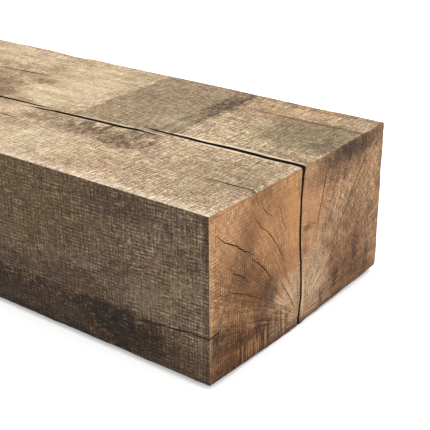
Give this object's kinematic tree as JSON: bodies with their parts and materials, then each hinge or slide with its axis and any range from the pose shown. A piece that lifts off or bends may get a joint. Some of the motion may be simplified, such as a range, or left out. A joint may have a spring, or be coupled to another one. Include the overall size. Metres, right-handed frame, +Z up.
{
  "type": "railway sleeper",
  "caption": "Weathered sawn timber sleeper of rectangular section, with a drying split at one end.",
  "frame": {"origin": "middle of the bed, the underside that lies on the ground", "axes": "+X along the length towards the split end, +Y towards the back side, +Z up through the thickness"},
  "size_m": [2.4, 0.225, 0.128],
  "materials": {
    "weathered_timber": "rough sawn hardwood, weathered grey-brown"
  },
  "bodies": {
    "root": {"sleeper": "weathered_timber"}
  },
  "joints": []
}
